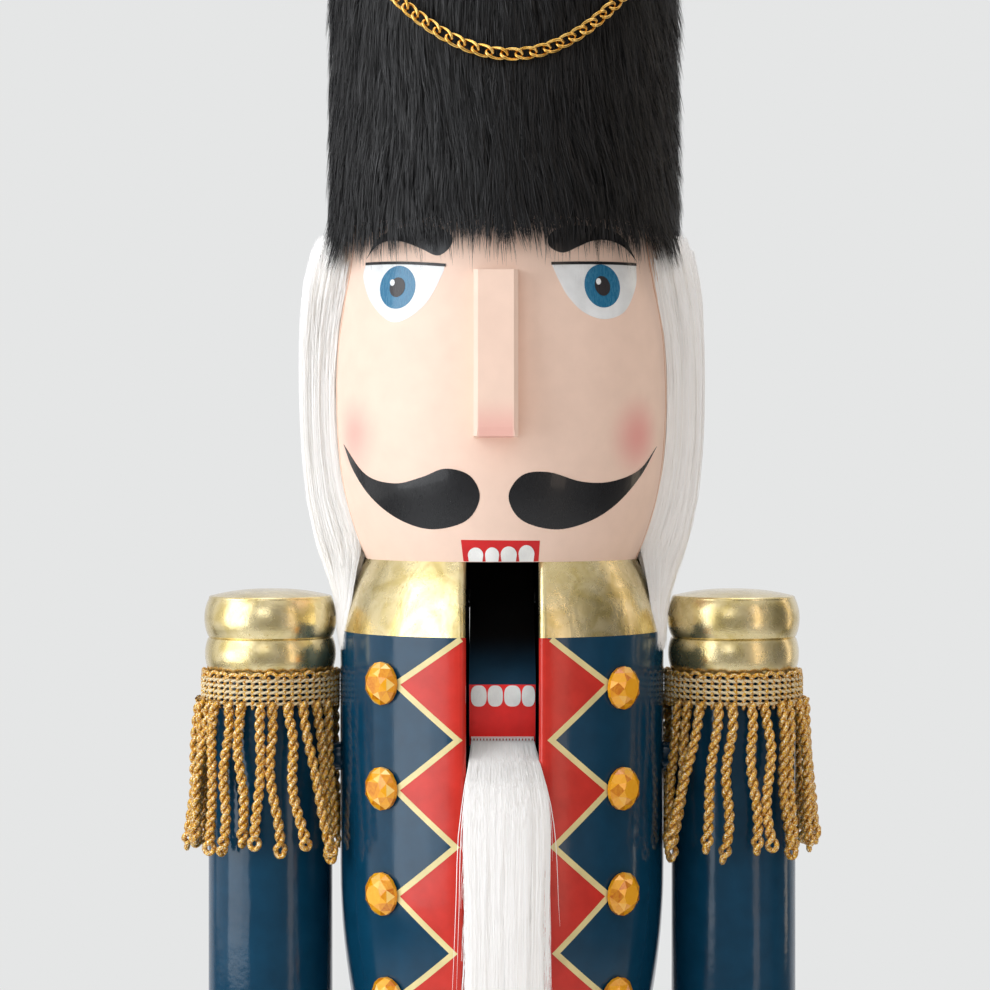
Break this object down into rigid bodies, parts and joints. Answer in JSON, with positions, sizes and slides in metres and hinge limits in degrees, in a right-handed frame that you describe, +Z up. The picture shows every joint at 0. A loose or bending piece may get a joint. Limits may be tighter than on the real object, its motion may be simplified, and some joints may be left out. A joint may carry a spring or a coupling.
{
  "type": "nutcracker figure",
  "caption": "Standing wooden soldier figure with a hinged jaw lever, hanging beard, tall fur hat with a draped chain, and fringed shoulders on a round base.",
  "frame": {"origin": "middle of the base's underside", "axes": "+Z up, the figure faces -Y, its left arm on +X"},
  "size_m": [0.263, 0.275, 0.913],
  "materials": {
    "green_paint": "glossy green enamel on wood",
    "gold_paint": "satin gold paint on wood",
    "gold_leaf": "burnished gold leaf on wood",
    "navy_paint": "glossy navy enamel on wood",
    "black_paint": "glossy black enamel on wood",
    "white_paint": "semi-gloss white enamel on wood",
    "skin_paint": "satin flesh-coloured paint on wood",
    "raw_wood": "unfinished beech",
    "hat_core": "plain rolled board",
    "black_fur": "long black pile",
    "white_pile": "long straight white pile",
    "hem_tape": "stitched woven strip",
    "gold_thread": "twisted metallic thread",
    "felt": "pressed felt",
    "amber_gem": "faceted, foil-backed",
    "gold_metal": "polished",
    "steel": "plain bright"
  },
  "bodies": {
    "figure": {"arm_dowels": "raw_wood", "base_felt_pad": "felt", "base_plinth": "green_paint", "base_screws": "steel", "base_step": "gold_paint", "belt": "black_paint", "belt_buckle": "gold_leaf", "chain_pins": "gold_metal", "coat_skirt": "navy_paint", "epaulette_dowels": "raw_wood", "gem_buttons": "amber_gem", "hair_wig": "white_pile", "hat_fur": "black_fur", "hat_top_disc": "hat_core", "hat_tube": "hat_core", "head": "skin_paint", "jaw_pin": "steel", "left_arm": "navy_paint", "left_boot": "black_paint", "left_boot_cuff": "gold_leaf", "left_cuff": "gold_leaf", "left_epaulette": "gold_leaf", "left_fringe": "gold_thread", "left_fringe_tape": "gold_thread", "left_hand": "skin_paint", "left_leg": "white_paint", "left_sole": "black_paint", "left_toe_cap": "black_paint", "leg_dowels": "raw_wood", "neck_dowels": "raw_wood", "nose": "skin_paint", "right_arm": "navy_paint", "right_boot": "black_paint", "right_boot_cuff": "gold_leaf", "right_cuff": "gold_leaf", "right_epaulette": "gold_leaf", "right_fringe": "gold_thread", "right_fringe_tape": "gold_thread", "right_hand": "skin_paint", "right_leg": "white_paint", "right_sole": "black_paint", "right_toe_cap": "black_paint", "torso": "navy_paint", "waist_dowels": "raw_wood", "wrist_dowels": "raw_wood"},
    "lever": {"jaw_lever": "navy_paint", "beard_hem": "hem_tape"},
    "beard": {"beard": "white_pile"},
    "chain": {"hat_chain": "gold_metal"}
  },
  "joints": [
    {"name": "jaw_hinge", "type": "hinge", "parent": "figure", "child": "lever", "pos_m": [0, 0.0226, 0.5666], "axis": [-1, 0, 0], "range_deg": [0, 34]},
    {"name": "beard_hang", "type": "hinge", "parent": "lever", "child": "beard", "pos_m": [0, -0.0495, 0.511], "axis": [-1, 0, 0], "range_deg": [-34.5, 0.5]},
    {"name": "chain_swing", "type": "hinge", "parent": "figure", "child": "chain", "pos_m": [0, 0, 0.856], "axis": [-1, 0, 0], "range_deg": [0, 40]}
  ],
  "couplings": [
    {"joint": "beard_hang", "follows": "jaw_hinge", "ratio": -1}
  ]
}
